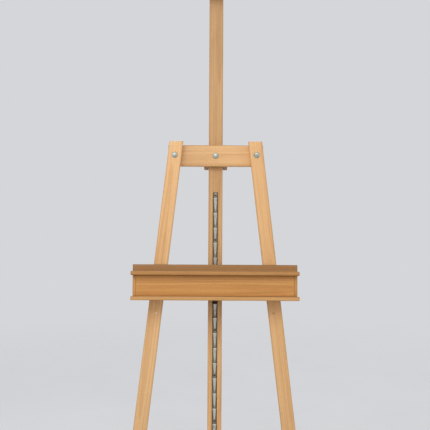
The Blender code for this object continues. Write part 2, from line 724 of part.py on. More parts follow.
def build_holder():
    """The canvas holder on the upper mast, with its clamp screw behind."""
    slide = new_empty("holder_slide", (0.0, 0.0, HOLDER_RISE), (0.0, 0.0, 0.0), lean)
    half, height = HOLDER_HALF_WIDTH, HOLDER_HEIGHT
    lip_rear = HOLDER_FRONT + HOLDER_LIP_THICK
    fence_front, fence_rear = HOLDER_FENCE_FRONT, HOLDER_FENCE_REAR
    plate_corner = (half, MAST_FRONT - GAP, HOLDER_PLATE_TOP)
    board("holder_plate", (-half, HOLDER_FRONT, height + GAP), plate_corner, slide)
    board("holder_lip", (-half, HOLDER_FRONT, HOLDER_LIP_BOTTOM), (half, lip_rear, height), slide)
    board("holder_fence", (-half, fence_front, HOLDER_FENCE_BOTTOM), (half, fence_rear, height), slide)
    rear = MAST_REAR + 2 * GAP
    cheeks = []
    for side, sign in (("left", -1), ("right", 1)):
        xs = sorted((sign * CHEEK_INNER, sign * CHEEK_OUTER))
        front_low, rear_high = (xs[0], fence_rear + GAP, 0.0), (xs[1], rear, height)
        cheeks.append(board(f"holder_{side}_cheek", front_low, rear_high, slide))
    plate_front, plate_rear = rear + GAP, rear + GAP + HOLDER_BACK_THICK
    plate = board(
        "holder_back_plate",
        (-CHEEK_OUTER, plate_front, HOLDER_BACK_INSET),
        (CHEEK_OUTER, plate_rear, height - HOLDER_BACK_INSET),
        slide,
    )
    for cheek, side, sign in zip(cheeks, ("left", "right"), (-1, 1)):
        at = (sign * (CHEEK_INNER + CHEEK_THICK / 2), plate_rear + GAP, height / 2)
        into = [plate, cheek]
        dome_screw(f"holder_{side}_screw", at, slide, "Y", 1, WOOD_SCREW, HOLDER_SCREW_LENGTH, into)
    axis_at = (0.0, 0.0, height / 2)
    pocket_end = rear + CLAMP_PAD_THICK + CLAMP_PAD_TRAVEL + 0.001
    start, end = plate_front - 0.01, plate_rear + 0.01
    drill([plate], "clamp_pad", axis_at, slide, CLAMP_PAD_RADIUS + GAP, "Y", start, pocket_end)
    drill([plate], "clamp_screw", axis_at, slide, CLAMP_STUD_RADIUS, "Y", start, end)
    build_clamp(slide, axis_at, rear, plate_rear)


def build_clamp(slide, axis_at, rear, plate_rear):
    """The pressure pad on the mast's rear face, and the knob with its threaded stud."""
    turn = new_empty("clamp_axis", (0.0, rear, axis_at[2]), (0.0, 0.0, 0.0), slide)
    pad = place(
        lambda bm: cone_mesh(bm, CLAMP_PAD_RADIUS, CLAMP_PAD_RADIUS, 0.0, CLAMP_PAD_THICK, 18, "Y"),
        "clamp_pad",
        (0, 0, 0),
        turn,
        STEEL,
    )
    EASEL.objects.link(pad)
    knob_start = plate_rear - rear + KNOB_CLEARANCE
    stud_start, stud_end = CLAMP_PAD_THICK + GAP, knob_start + CLAMP_STUD_IN_KNOB
    stud = place(
        lambda bm: cone_mesh(bm, CLAMP_STUD_RADIUS, CLAMP_STUD_RADIUS, stud_start, stud_end, 16, "Y"),
        "clamp_stud",
        (0, 0, 0),
        turn,
        STEEL,
    )
    EASEL.objects.link(stud)
    count = KNOB_LOBES * 8
    middle_radius = (KNOB_VALLEY_RADIUS + KNOB_LOBE_RADIUS) / 2
    wave = (KNOB_LOBE_RADIUS - KNOB_VALLEY_RADIUS) / 2
    outline = []
    for i in range(count):
        angle = 2 * math.pi * i / count
        radius = middle_radius + wave * math.cos(KNOB_LOBES * angle)
        outline.append((radius * math.cos(angle), radius * math.sin(angle)))
    knob = extruded_outline("clamp_knob", outline, KNOB_LENGTH / 2, (0, 0, 0), turn, BLACK_PLASTIC)
    knob_middle = Matrix.Translation((0.0, knob_start + KNOB_LENGTH / 2, 0.0))
    knob.data.transform(knob_middle @ Matrix.Rotation(math.pi / 2, 4, "Z"))
    rounded(knob, 0.0025).modifiers[0].angle_limit = math.radians(50)
    hole_end = stud_end + 2 * GAP
    drill([knob], "clamp_knob", (0, 0, 0), turn, CLAMP_STUD_RADIUS, "Y", knob_start - 0.01, hole_end)


legs = build_legs()
mast = build_mast()
build_crossbars(legs, mast)
build_ratchet(mast)
tray_slide = build_tray()
build_pawl(tray_slide)
build_hinge(mast)
build_rear_leg()
build_holder()

for item in EASEL.objects:
    if item.type == "MESH" and item.name not in CUTTERS.objects:
        item.data.shade_smooth()
        item.data.set_sharp_from_angle(angle=math.radians(35))
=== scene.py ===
"""Looks of the wooden studio easel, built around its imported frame.

Every place and size comes from the frame: a node is measured in the leaning coordinates of the front frame
(X across, Y to the back, Z up along the mast), in a splayed leg's coordinates or in the rear leg's. Each
wooden piece is a board with worn, rounded edges, and its mesh carries the coordinates of its own grain.
Lengths are in metres.
"""

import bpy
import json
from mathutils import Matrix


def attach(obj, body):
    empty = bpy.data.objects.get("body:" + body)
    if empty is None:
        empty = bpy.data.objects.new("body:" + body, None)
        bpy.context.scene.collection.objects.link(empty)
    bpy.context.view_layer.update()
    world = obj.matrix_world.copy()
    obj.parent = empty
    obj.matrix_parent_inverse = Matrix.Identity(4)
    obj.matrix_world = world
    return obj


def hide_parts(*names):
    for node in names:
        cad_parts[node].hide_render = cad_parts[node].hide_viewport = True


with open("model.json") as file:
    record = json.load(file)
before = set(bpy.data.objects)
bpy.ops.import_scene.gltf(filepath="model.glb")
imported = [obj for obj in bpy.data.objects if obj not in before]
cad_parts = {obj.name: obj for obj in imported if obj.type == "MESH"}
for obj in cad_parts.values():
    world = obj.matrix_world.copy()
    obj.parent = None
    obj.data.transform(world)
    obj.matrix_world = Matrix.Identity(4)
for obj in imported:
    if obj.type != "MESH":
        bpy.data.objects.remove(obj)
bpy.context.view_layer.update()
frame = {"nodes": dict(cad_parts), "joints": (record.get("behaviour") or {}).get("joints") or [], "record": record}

import json
import math
import random

import bmesh
import bpy
from mathutils import Matrix, Vector, noise

RANDOM = random.Random(7)
JOINTS = {joint["name"]: joint for joint in frame["joints"]}
MOUNTS = {mount["name"]: mount for mount in frame["record"]["mounts"]}

# Coordinates

MAST_UP = Vector(JOINTS["tray_slide"]["axis"]).normalized()
ACROSS = Vector((1.0, 0.0, 0.0))
TO_BACK = MAST_UP.cross(ACROSS)
SPLAY = math.radians(6.72)


def axes(x, y, z):
    return Matrix((x, y, z)).transposed().to_4x4()


LEAN = axes(ACROSS, TO_BACK, MAST_UP)
LEFT_LEG = LEAN @ Matrix.Rotation(SPLAY, 4, "Y")
RIGHT_LEG = LEAN @ Matrix.Rotation(-SPLAY, 4, "Y")
REAR_UP = (Vector(JOINTS["rear_leg_fold"]["pos_m"]) - Vector(MOUNTS["rear_foot"]["pos_m"])).normalized()
REAR_LEG = axes(ACROSS, REAR_UP.cross(ACROSS), REAR_UP)


def span(node, turn=LEAN):
    """A node's lowest and highest corners along the axes of turn."""
    back = turn.inverted()
    points = [back @ vertex.co for vertex in frame["nodes"][node].data.vertices]
    low = Vector([min(point[i] for point in points) for i in range(3)])
    high = Vector([max(point[i] for point in points) for i in range(3)])
    return low, high


def direction(axis, sign=1.0):
    """The unit vector along an axis: 0 is across, 1 is depth and 2 is up."""
    return Vector([sign * (i == axis) for i in range(3)])


def aim(point, outwards):
    """A matrix that puts the origin at point and turns Z to point outwards, both in leaning coordinates."""
    return LEAN @ Matrix.Translation(point) @ Vector(outwards).to_track_quat("Z", "Y").to_matrix().to_4x4()


# Materials


def srgb(red, green, blue):
    """A colour of 0 to 255 as the linear values that shaders take."""
    parts = [value / 255 for value in (red, green, blue)]
    return [part / 12.92 if part <= 0.04045 else ((part + 0.055) / 1.055) ** 2.4 for part in parts] + [1.0]


def scaled(colour, factor):
    """A linear colour made darker or lighter by factor."""
    return [min(part * factor, 1.0) for part in colour[:3]] + [1.0]


# A Mix node has one set of sockets for each data type, and these are the ones for colours.
MIX_FIRST, MIX_SECOND, MIX_RESULT = 6, 7, 2


class Shader:
    """A small builder of node materials. A value is a number, a tuple or another node's output."""

    def __init__(self, name):
        self.material = bpy.data.materials.new(name)
        self.material.use_nodes = True
        self.tree = self.material.node_tree
        self.surface = self.tree.nodes["Principled BSDF"]

    def node(self, kind, inputs=(), **settings):
        made = self.tree.nodes.new(kind)
        for key, value in settings.items():
            setattr(made, key, value)
        for socket, value in dict(inputs).items():
            self.feed(made.inputs[socket], value)
        return made

    def feed(self, socket, value):
        if isinstance(value, bpy.types.NodeSocket):
            self.tree.links.new(value, socket)
        else:
            socket.default_value = value

    def attribute(self, name, output="Vector"):
        return self.node("ShaderNodeAttribute", attribute_name=name).outputs[output]

    def math(self, operation, first, second=0.0):
        return self.node("ShaderNodeMath", {0: first, 1: second}, operation=operation).outputs[0]

    def times(self, first, second):
        return self.math("MULTIPLY", first, second)

    def plus(self, base, value, factor=1.0):
        """base plus factor times value."""
        return self.math("ADD", base, self.times(value, factor))

    def vector(self, operation, first, second=(0.0, 0.0, 0.0)):
        made = self.node("ShaderNodeVectorMath", {0: first, 1: second}, operation=operation)
        return made.outputs["Vector"]

    def split(self, vector):
        return self.node("ShaderNodeSeparateXYZ", {0: vector}).outputs

    def noise(self, where, scale, detail=2.0, roughness=0.5):
        """Noise whose cells measure 1 / scale metres along each axis of where."""
        at = self.vector("MULTIPLY", where, scale)
        inputs = {"Vector": at, "Scale": 1.0, "Detail": detail, "Roughness": roughness}
        return self.node("ShaderNodeTexNoise", inputs).outputs["Fac"]

    def fade(self, value, low, high, to_low=0.0, to_high=1.0):
        """Goes smoothly from to_low to to_high as value goes from low to high."""
        inputs = {"Value": value, "From Min": low, "From Max": high, "To Min": to_low, "To Max": to_high}
        return self.node("ShaderNodeMapRange", inputs, interpolation_type="SMOOTHSTEP").outputs["Result"]

    def mix(self, share, first, second):
        """The colour first, turning into second as share goes from 0 to 1."""
        inputs = {"Factor": share, MIX_FIRST: first, MIX_SECOND: second}
        return self.node("ShaderNodeMix", inputs, data_type="RGBA").outputs[MIX_RESULT]

    def bump(self, height, distance, strength=1.0):
        made = self.node("ShaderNodeBump", {"Height": height, "Distance": distance, "Strength": strength})
        self.feed(self.surface.inputs["Normal"], made.outputs["Normal"])

    def set(self, **inputs):
        for name, value in inputs.items():
            self.feed(self.surface.inputs[name.replace("_", " ")], value)


RINGS_PER_METRE = 230.0


def wood(name, light, middle, dark, streak_half=0.0, painted_end_shade=(0.0, 0.0)):
    """Oiled beech: growth rings around the pith, fine fibres, short flecks, soft stains and rubbed edges.

    light, middle and dark are its tints. streak_half is the half width of a darker streak down the middle of
    the board's wide face. The last argument paints shade: how much darker the board is made towards its foot
    and towards its head, standing in for how the light falls along it.
    """
    light, middle, dark = [srgb(*tint) for tint in (light, middle, dark)]
    s = Shader(name)
    grain = s.attribute("grain")
    wide, deep = list(s.split(grain))[1:]
    sway = s.noise(grain, (1.6, 14.0, 14.0), 2.0)
    ripple = s.noise(grain, (7.0, 60.0, 60.0), 3.0)
    radius = s.math("SQRT", s.math("ADD", s.times(wide, wide), s.times(deep, deep)))
    pushed = s.plus(s.plus(radius, sway, 0.016), ripple, 0.0022)
    ring = s.math("FRACT", s.times(pushed, RINGS_PER_METRE))
    late = s.times(s.fade(ring, 0.30, 0.88), s.fade(ring, 1.0, 0.90))
    fibre = s.noise(grain, (9.0, 1100.0, 1100.0), 3.0, 0.6)
    band = s.noise(grain, (1.1, 75.0, 75.0), 2.0)
    streak = s.noise(grain, (3.0, 260.0, 260.0), 3.0, 0.65)
    fleck = s.fade(s.noise(grain, (190.0, 1700.0, 1700.0), 1.0), 0.60, 0.70)
    stain = s.noise(grain, (5.0, 16.0, 16.0), 4.0, 0.6)

    colour = s.mix(s.fade(band, 0.34, 0.66), light, middle)
    colour = s.mix(s.times(late, 0.34), colour, dark)
    colour = s.mix(s.fade(streak, 0.50, 0.80, 0.0, 0.42), colour, dark)
    colour = s.mix(s.fade(fibre, 0.42, 0.75, 0.0, 0.30), colour, dark)
    colour = s.mix(s.fade(fibre, 0.46, 0.24, 0.0, 0.22), colour, light)
    colour = s.mix(s.times(fleck, 0.26), colour, scaled(dark, 0.42))
    colour = s.mix(s.fade(stain, 0.52, 0.80, 0.0, 0.30), colour, dark)
    colour = s.mix(s.times(pin_knots(s, grain), 0.75), colour, scaled(dark, 0.35))
    if streak_half:
        off_centre = s.math("ABSOLUTE", s.split(s.attribute("centred"))[1])
        inside = s.fade(s.plus(off_centre, ripple, 0.004), 2.0 * streak_half, streak_half)
        colour = s.mix(s.times(inside, 0.30), colour, dark)
    # Painted shade: a darkening along the board towards its foot or its head, for how the light falls along it.
    if any(painted_end_shade):
        along, half_length = (s.split(s.attribute(name))[0] for name in ("centred", "half"))
        darker = s.fade(s.math("DIVIDE", along, half_length), -1.0, 1.0, *painted_end_shade)
        colour = s.mix(darker, colour, scaled(dark, 0.3))

    rough_edge = s.noise(grain, (60.0, 240.0, 240.0), 3.0, 0.6)
    handled = s.fade(s.plus(edge_distance(s), rough_edge, -0.0035), 0.0016, -0.0004)
    colour = s.mix(s.times(handled, 0.34), colour, scaled(dark, 0.55))
    end_cut = end_mask(s)
    colour = s.mix(s.times(end_cut, 0.50), colour, scaled(dark, 0.62))
    rough = s.plus(s.plus(s.plus(0.40, fibre, 0.16), stain, 0.10), end_cut, 0.18)
    s.set(Base_Color=colour, Roughness=rough, Coat_Weight=0.12, Coat_Roughness=0.38, Specular_IOR_Level=0.42)
    height = s.plus(s.plus(s.times(fibre, 0.55), streak, 0.5), late, 0.30)
    height = s.plus(s.plus(height, fleck, -0.9), s.times(rough_edge, handled), -1.2)
    s.bump(height, 0.00022, 0.75)
    return s.material


def pin_knots(s, grain):
    """Rare small knots, drawn out along the grain."""
    at = s.vector("MULTIPLY", grain, (9.0, 38.0, 38.0))
    cells = s.node("ShaderNodeTexVoronoi", {"Vector": at, "Scale": 1.0})
    near = s.fade(cells.outputs["Distance"], 0.11, 0.03)
    chosen = s.fade(s.split(cells.outputs["Color"])[0], 0.86, 0.88)
    return s.times(near, chosen)


def face_distances(s):
    """How far a point is from each of a board's three pairs of faces, the ends first."""
    return s.split(s.vector("SUBTRACT", s.attribute("half"), s.vector("ABSOLUTE", s.attribute("centred"))))


def edge_distance(s):
    """How far a point is from a board's nearest edge: the middle one of its face distances."""
    a, b, c = face_distances(s)
    low, high = s.math("MINIMUM", a, b), s.math("MAXIMUM", a, b)
    return s.math("MAXIMUM", low, s.math("MINIMUM", high, c))


def end_mask(s):
    """1 on the two faces that cut across the grain."""
    return s.fade(face_distances(s)[0], 0.0009, 0.0004)


def metal(name, light, dark, rust_share, roughness, metallic, brushed, dirt_and_shade=None):
    """Plated or blackened steel: mottled plating, fine scratches, grime in patches, and specks of rust.

    light and dark are its tints, and brushed is the scale of the scratches along each axis. The last argument
    is the tint of old dirt and of painted shade, which covers the surface where the mesh marks it 0 and leaves it
    clean and lit where the mark is 1. A second mark picks out the teeth's top lips, rubbed bright by the pawl and
    lightened further as a painted highlight.
    """
    light, dark = srgb(*light), srgb(*dark)
    s = Shader(name)
    where = s.attribute("place")
    mottle = s.noise(where, (420.0, 420.0, 420.0), 3.0, 0.6)
    patch = s.noise(where, (70.0, 70.0, 60.0), 4.0, 0.6)
    scratch = s.noise(where, brushed, 2.0, 0.6)
    speck = s.noise(where, (900.0, 900.0, 900.0), 2.0)
    colour = s.mix(s.fade(mottle, 0.30, 0.80, 0.0, 0.8), light, dark)
    colour = s.mix(s.fade(scratch, 0.52, 0.75, 0.0, 0.35), colour, scaled(light, 1.5))
    grime = s.fade(patch, 0.55, 0.75, 0.0, 0.6)
    colour = s.mix(grime, colour, scaled(dark, 0.4))
    if dirt_and_shade:
        # Dirt in patches, and painted shade where the mesh marks it: along the plate's sides and on the teeth's
        # flanks and tails.
        bare_and_lit = s.plus(s.attribute("bare_and_lit", "Fac"), patch, -0.30)
        colour = s.mix(s.fade(bare_and_lit, -0.05, 0.65), srgb(*dirt_and_shade), colour)
        # Painted highlight on the teeth's top lips, where the pawl has also rubbed the metal bright.
        colour = s.mix(s.times(s.attribute("polish_and_highlight", "Fac"), 0.85), colour, srgb(232, 232, 222))
    rust = s.times(s.fade(patch, 0.60 - rust_share, 0.72 - rust_share), s.fade(speck, 0.50, 0.62))
    colour = s.mix(s.times(rust, 0.8), colour, srgb(120, 70, 38))
    shine = s.times(s.plus(1.0, rust, -0.8), metallic)
    rough = s.plus(s.plus(s.plus(roughness, mottle, 0.18), grime, 0.25), rust, 0.3)
    s.set(Base_Color=colour, Metallic=shine, Roughness=rough)
    height = s.plus(s.plus(s.times(mottle, 0.5), scratch, 0.5), rust, 0.8)
    s.bump(height, 0.00012, 0.6)
    return s.material


def moulded_plastic(name):
    """Black plastic with a fine moulded texture, dusty where it isn't handled."""
    s = Shader(name)
    where = s.attribute("place")
    pebble = s.noise(where, (1700.0, 1700.0, 1700.0), 2.0)
    dust = s.noise(where, (110.0, 110.0, 110.0), 4.0, 0.6)
    colour = s.mix(s.fade(dust, 0.45, 0.75, 0.0, 0.45), srgb(30, 30, 32), srgb(72, 70, 66))
    colour = s.mix(s.fade(pebble, 0.55, 0.75, 0.0, 0.25), colour, srgb(52, 52, 54))
    s.set(Base_Color=colour, Roughness=s.plus(0.36, dust, 0.3))
    s.bump(pebble, 0.00018, 0.6)
    return s.material


WOODS = {
    # Painted shade: the legs are made darker towards their feet and the mast darker towards its head.
    "leg": wood("beech_legs", (230, 185, 130), (218, 170, 113), (187, 134, 79), painted_end_shade=(0.15, 0.0)),
    "mast": wood("beech_mast", (226, 180, 121), (213, 164, 106), (175, 122, 70), 0.003, (0.0, 0.40)),
    "tray": wood("beech_tray", (207, 150, 80), (195, 136, 69), (162, 106, 48)),
    # A darker copy of the tray's wood: painted shade on the ledge's front edge.
    "ledge": wood("beech_ledge_painted_shade", (189, 137, 74), (176, 123, 63), (143, 93, 43)),
    # A still darker copy of the tray's wood: painted shade on the back board standing up behind the ledge.
    "ridge": wood("beech_ridge_painted_shade", (166, 120, 62), (153, 107, 53), (120, 79, 36)),
    "bottom": wood("beech_bottom", (208, 158, 96), (197, 146, 85), (164, 112, 58)),
    "hidden": wood("beech_carriage", (206, 158, 102), (194, 144, 88), (158, 108, 60)),
    # A pale copy of the plug wood: a painted highlight on the left leg's plug.
    "pale_plug": wood("pale_plug_painted_highlight", (246, 216, 190), (238, 204, 176), (216, 176, 144)),
}
ZINC = metal("zinc_plate", (178, 184, 176), (128, 136, 130), 0.02, 0.34, 0.85, (60.0, 60.0, 1400.0))
# The ratchet's steel: its dirt tint also paints the shade beside and on the teeth.
RACK = metal(
    "rack_steel",
    (190, 196, 188),
    (158, 166, 158),
    0.05,
    0.40,
    0.60,
    (1500.0, 900.0, 40.0),
    dirt_and_shade=(82, 67, 50),
)
BLACKENED = metal("blackened_steel", (84, 80, 76), (46, 43, 41), 0.09, 0.40, 0.80, (90.0, 90.0, 1200.0))
PLASTIC = moulded_plastic("moulded_black")


# Meshes


def add_piece(name, bm, placing, body, nodes, material, smooth_angle=32.0):
    """An object of bm, placed by the matrix placing, that rides body and stands for the CAD nodes."""
    bmesh.ops.recalc_face_normals(bm, faces=bm.faces)
    place = bm.verts.layers.float_vector.new("place")
    shift = Vector([RANDOM.uniform(0.0, 3.0) for i in range(3)])
    for vertex in bm.verts:
        vertex[place] = vertex.co + shift
    bmesh.ops.transform(bm, matrix=placing, verts=bm.verts)
    mesh = bpy.data.meshes.new(name)
    bm.to_mesh(mesh)
    bm.free()
    mesh.shade_smooth()
    mesh.set_sharp_from_angle(angle=math.radians(smooth_angle))
    mesh.materials.append(material)
    piece = bpy.data.objects.new(name, mesh)
    bpy.context.scene.collection.objects.link(piece)
    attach(piece, body)
    if nodes:
        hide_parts(*nodes)


def join(bm, part):
    """Adds the bmesh part to bm, and frees it."""
    mesh = bpy.data.meshes.new("part")
    part.to_mesh(mesh)
    part.free()
    bm.from_mesh(mesh)
    bpy.data.meshes.remove(mesh)


def cut_away(bm, point, normal):
    """Cuts off what lies beyond a plane, and closes the cut."""
    geometry = bm.verts[:] + bm.edges[:] + bm.faces[:]
    cut = bmesh.ops.bisect_plane(bm, geom=geometry, plane_co=point, plane_no=normal, clear_outer=True)
    rim = [item for item in cut["geom_cut"] if isinstance(item, bmesh.types.BMEdge)]
    if rim:
        bmesh.ops.contextual_create(bm, geom=rim)


def slice_along(bm, axis, low, high, step):
    """Extra loops across a board, about step apart, so that its points can differ along it."""
    count = int((high - low) / step)
    normal = direction(axis)
    for i in range(1, count):
        geometry = bm.verts[:] + bm.edges[:] + bm.faces[:]
        place = normal * (low + (high - low) * i / count)
        bmesh.ops.bisect_plane(bm, geom=geometry, plane_co=place, plane_no=normal)


def sharp_edges(bm, degrees=30.0):
    limit = math.radians(degrees)
    return [edge for edge in bm.edges if len(edge.link_faces) == 2 and edge.calc_face_angle() > limit]


def round_edges(bm, radius, segments=3):
    bmesh.ops.bevel(
        bm,
        geom=sharp_edges(bm),
        offset=radius,
        segments=segments,
        profile=0.5,
        affect="EDGES",
        clamp_overlap=True,
    )


def box(bm, low, high):
    low, high = Vector(low), Vector(high)
    place = Matrix.Translation((low + high) / 2) @ Matrix.Diagonal((*(high - low), 1.0))
    bmesh.ops.create_cube(bm, size=1.0, matrix=place)


def subtract(bm, cutter):
    """bm less the closed mesh cutter. Both are freed, and the result is a new bmesh."""
    objects = []
    for part in (bm, cutter):
        bmesh.ops.recalc_face_normals(part, faces=part.faces)
        mesh = bpy.data.meshes.new("scratch")
        part.to_mesh(mesh)
        part.free()
        made = bpy.data.objects.new("scratch", mesh)
        bpy.context.scene.collection.objects.link(made)
        objects.append(made)
    modifier = objects[0].modifiers.new("cut", "BOOLEAN")
    modifier.operation = "DIFFERENCE"
    modifier.solver = "EXACT"
    modifier.object = objects[1]
    graph = bpy.context.evaluated_depsgraph_get()
    result = bmesh.new()
    result.from_mesh(bpy.data.meshes.new_from_object(objects[0].evaluated_get(graph)))
    for made in objects:
        bpy.data.objects.remove(made)
    return result


def bridge(bm, first, second):
    """Faces between two rings of points. A ring of one point is a tip."""
    count = max(len(first), len(second))
    for i in range(count):
        j = (i + 1) % count
        one, other = (ring[i % len(ring)] for ring in (first, second))
        next_one, next_other = (ring[j % len(ring)] for ring in (first, second))
        corners = list(dict.fromkeys([one, other, next_other, next_one]))
        if len(corners) > 2:
            bm.faces.new(corners)


def lathe(bm, profile, sides=32):
    """Turns a closed profile of (radius, height) points, top to bottom, about Z."""
    angles = [2 * math.pi * i / sides for i in range(sides)]
    rings = []
    for radius, height in profile:
        if radius < 1e-7:
            rings.append([bm.verts.new((0.0, 0.0, height))])
        else:
            rings.append([bm.verts.new((radius * math.cos(a), radius * math.sin(a), height)) for a in angles])
    for upper, lower in zip(rings, rings[1:]):
        bridge(bm, upper, lower)
    return bm


def arc(centre, radius, start, end, count):
    """Points of an arc from start to end, in degrees."""
    angles = [math.radians(start + (end - start) * i / (count - 1)) for i in range(count)]
    return [(centre[0] + radius * math.cos(a), centre[1] + radius * math.sin(a)) for a in angles]


def thread(radius, top, bottom, pitch=0.00125, depth=0.0006):
    """The profile of a thread's crests and roots, from top to bottom."""
    points, height = [], top
    while height > bottom + pitch:
        points += [(radius, height), (radius, height - 0.15 * pitch), (radius - depth, height - 0.55 * pitch)]
        height -= pitch
    return points


# Wood

EDGE_WANDER = 0.00022
SLICE_STEP = 0.022


def wear_edges(bm, seed):
    """Moves the points of the rounded edges in by a little, more in a few dents."""
    rounds = {vertex for edge in sharp_edges(bm, 8.0) for vertex in edge.verts}
    bm.normal_update()
    for vertex in rounds:
        slow = noise.noise(vertex.co * 28.0 + Vector((seed, 0.0, 0.0)))
        dent = max(0.0, noise.noise(vertex.co * 95.0 + Vector((0.0, seed, 0.0))) - 0.35)
        vertex.co -= vertex.normal * (EDGE_WANDER * (0.5 + 0.5 * slow) + 4.0 * EDGE_WANDER * dent)


def write_grain(bm, low, high, along):
    """Stores each point's grain coordinates, its place from the board's middle and the board's half size."""
    order = {0: (0, 1, 2), 1: (1, 0, 2), 2: (2, 0, 1)}[along]
    middle, half = (low + high) / 2, (high - low) / 2
    if half[order[1]] < half[order[2]]:
        order = (order[0], order[2], order[1])
    pith = Vector((RANDOM.uniform(0.0, 9.0), RANDOM.uniform(-0.02, 0.02), RANDOM.uniform(0.035, 0.075)))
    lean = RANDOM.uniform(-0.02, 0.02)
    layers = {name: bm.verts.layers.float_vector.new(name) for name in ("grain", "centred", "half")}
    for vertex in bm.verts:
        centred = vertex.co - middle
        local = Vector([centred[i] for i in order])
        vertex[layers["centred"]] = local
        vertex[layers["half"]] = Vector([half[i] for i in order])
        vertex[layers["grain"]] = local + pith + Vector((0.0, lean * local[0], 0.5 * lean * local[0]))


def board(node, body, along, timber, radius=0.0018, turn=LEAN, cuts=(), grooves=(), longer=0.0, butted=0.0):
    """A board in place of a CAD node. along is the axis of its grain, and radius rounds its edges.

    cuts are planes and grooves are boxes, both in the coordinates of turn. longer is added at each end, and
    butted keeps the rubbed look of a free edge that far away from the ends.
    """
    low, high = span(node, turn)
    low[along] -= longer
    high[along] += longer
    bm = bmesh.new()
    box(bm, low, high)
    for point, normal in cuts:
        cut_away(bm, point, normal)
    for groove in grooves:
        cutter = bmesh.new()
        box(cutter, *groove)
        bm = subtract(bm, cutter)
    round_edges(bm, radius)
    slice_along(bm, along, low[along], high[along], SLICE_STEP)
    wear_edges(bm, RANDOM.uniform(0.0, 50.0))
    low[along] -= butted
    high[along] += butted
    write_grain(bm, low, high, along)
    add_piece(node + "_wood", bm, turn, body, [node], WOODS[timber])


GROOVE_HALF_WIDTH = 0.0085
GROOVE_DEPTH = 0.004
GROOVE_END_ROOM = 0.001
PANEL_SEAM = 0.0003  # what the CAD leaves free at each end of the tray's front panel


def front_leg(side, turn):
    """A front leg, cut flat to the floor at its foot and square to the mast at its top."""
    back = turn.inverted()
    top = back @ (LEAN @ Vector((0.0, 0.0, span("left_leg")[1].z)))
    cuts = [((0.0, 0.0, 0.0), back.to_3x3() @ -direction(2)), (top, back.to_3x3() @ MAST_UP)]
    board(f"{side}_leg", "frame", 2, "leg", 0.0022, turn, cuts)


def mast():
    mast_front = span("mast")[0].y
    strip_low, strip_high = span("ratchet_strip")
    groove = (
        (-GROOVE_HALF_WIDTH, mast_front - 0.01, strip_low.z - GROOVE_END_ROOM),
        (GROOVE_HALF_WIDTH, mast_front + GROOVE_DEPTH, strip_high.z + GROOVE_END_ROOM),
    )
    board("mast", "frame", 2, "mast", 0.0012, grooves=[groove])


def wooden_pieces():
    front_leg("left", LEFT_LEG)
    front_leg("right", RIGHT_LEG)
    floor_cut = ((0.0, 0.0, 0.0), REAR_LEG.inverted().to_3x3() @ -direction(2))
    board("rear_leg", "rear_leg", 2, "leg", 0.0022, REAR_LEG, [floor_cut])
    mast()
    for name in ("lower_crossbar", "top_crossbar"):
        board(name, "frame", 0, "leg", 0.0022)
    board("tray_bottom", "tray", 0, "bottom", 0.0016)
    board("tray_ledge", "tray", 0, "ledge", 0.0016)
    board("tray_back", "tray", 0, "ridge", 0.0016)
    board("tray_front_panel", "tray", 0, "tray", 0.0003, longer=PANEL_SEAM, butted=0.01)
    for side in ("left", "right"):
        board(f"tray_{side}_end", "tray", 2, "tray", 0.0004)
        board(f"carriage_{side}_cheek", "tray", 2, "hidden")
        board(f"hinge_{side}_cheek", "frame", 2, "hidden", 0.0025)
        board(f"holder_{side}_cheek", "canvas_holder", 1, "hidden")
    board("carriage_plate", "tray", 0, "hidden", 0.0022)
    board("leg_stop_block", "frame", 0, "hidden", 0.0008)
    board("holder_plate", "canvas_holder", 0, "hidden", 0.0025)
    board("holder_lip", "canvas_holder", 0, "hidden", 0.0025)
    board("holder_fence", "canvas_holder", 0, "hidden", 0.0018)
    board("holder_back_plate", "canvas_holder", 0, "hidden", 0.0025)


PLUG_BELOW_TRAY = 0.063
PLUG_INWARD = 0.005
PLUG_RADIUS = 0.0038
PLUG_DEPTH = 0.004
PLUG_CROWN = 0.0003


def leg_plug(side, turn, inward, timber):
    """A wooden plug in the face of a front leg, a little below the tray and inward of the leg's middle."""
    rise = span("tray_bottom")[0].z - PLUG_BELOW_TRAY
    low, high = span(f"{side}_leg", turn)
    on_line = turn.inverted() @ (LEAN @ Vector((0.0, 0.0, rise)))
    at = Vector(((low.x + high.x) / 2 + inward * PLUG_INWARD, low.y, on_line.z))
    rim = [(PLUG_RADIUS - PLUG_CROWN, PLUG_CROWN), (PLUG_RADIUS, 0.0), (PLUG_RADIUS, -PLUG_DEPTH)]
    bm = lathe(bmesh.new(), [(0.0, PLUG_CROWN)] + rim + [(0.0, -PLUG_DEPTH)], 28)
    half = Vector((PLUG_RADIUS, PLUG_RADIUS, PLUG_DEPTH))
    write_grain(bm, -half, half, 2)
    place = turn @ Matrix.Translation(at) @ Matrix.Rotation(math.pi / 2, 4, "X")
    add_piece(f"{side}_leg_plug", bm, place, "frame", [], WOODS[timber])


# The ratchet

TOOTH_LENGTH = 0.0425
SHORT_TOOTH_LENGTH = 0.036  # of a tooth above a screw
TOOTH_HALF_WIDTH = 0.00675
TAIL_HALF_WIDTH = 0.0027
TAIL_HEIGHT = 0.0009
TOOTH_WALL = 0.0016
TOOTH_SINK = 0.0004  # how deep its foot stands in the plate
LIP = 0.00035
LIP_BELOW_TOP = 0.0012
TOP_ROUNDING = 0.0004
POLISH_AND_HIGHLIGHT_LENGTH = 0.0036
HOLLOW_DEPTH = 0.012
STRIP_BELOW_FIRST_TOP = 0.050
STRIP_ABOVE_LAST_TOP = 0.018
STRIP_THICK = 0.0018
SCREW_EVERY = 3
PLATE_BARE_AND_LIT = 0.42  # how clean and lit the middle of the plate is left; towards its sides it takes dirt and painted shade
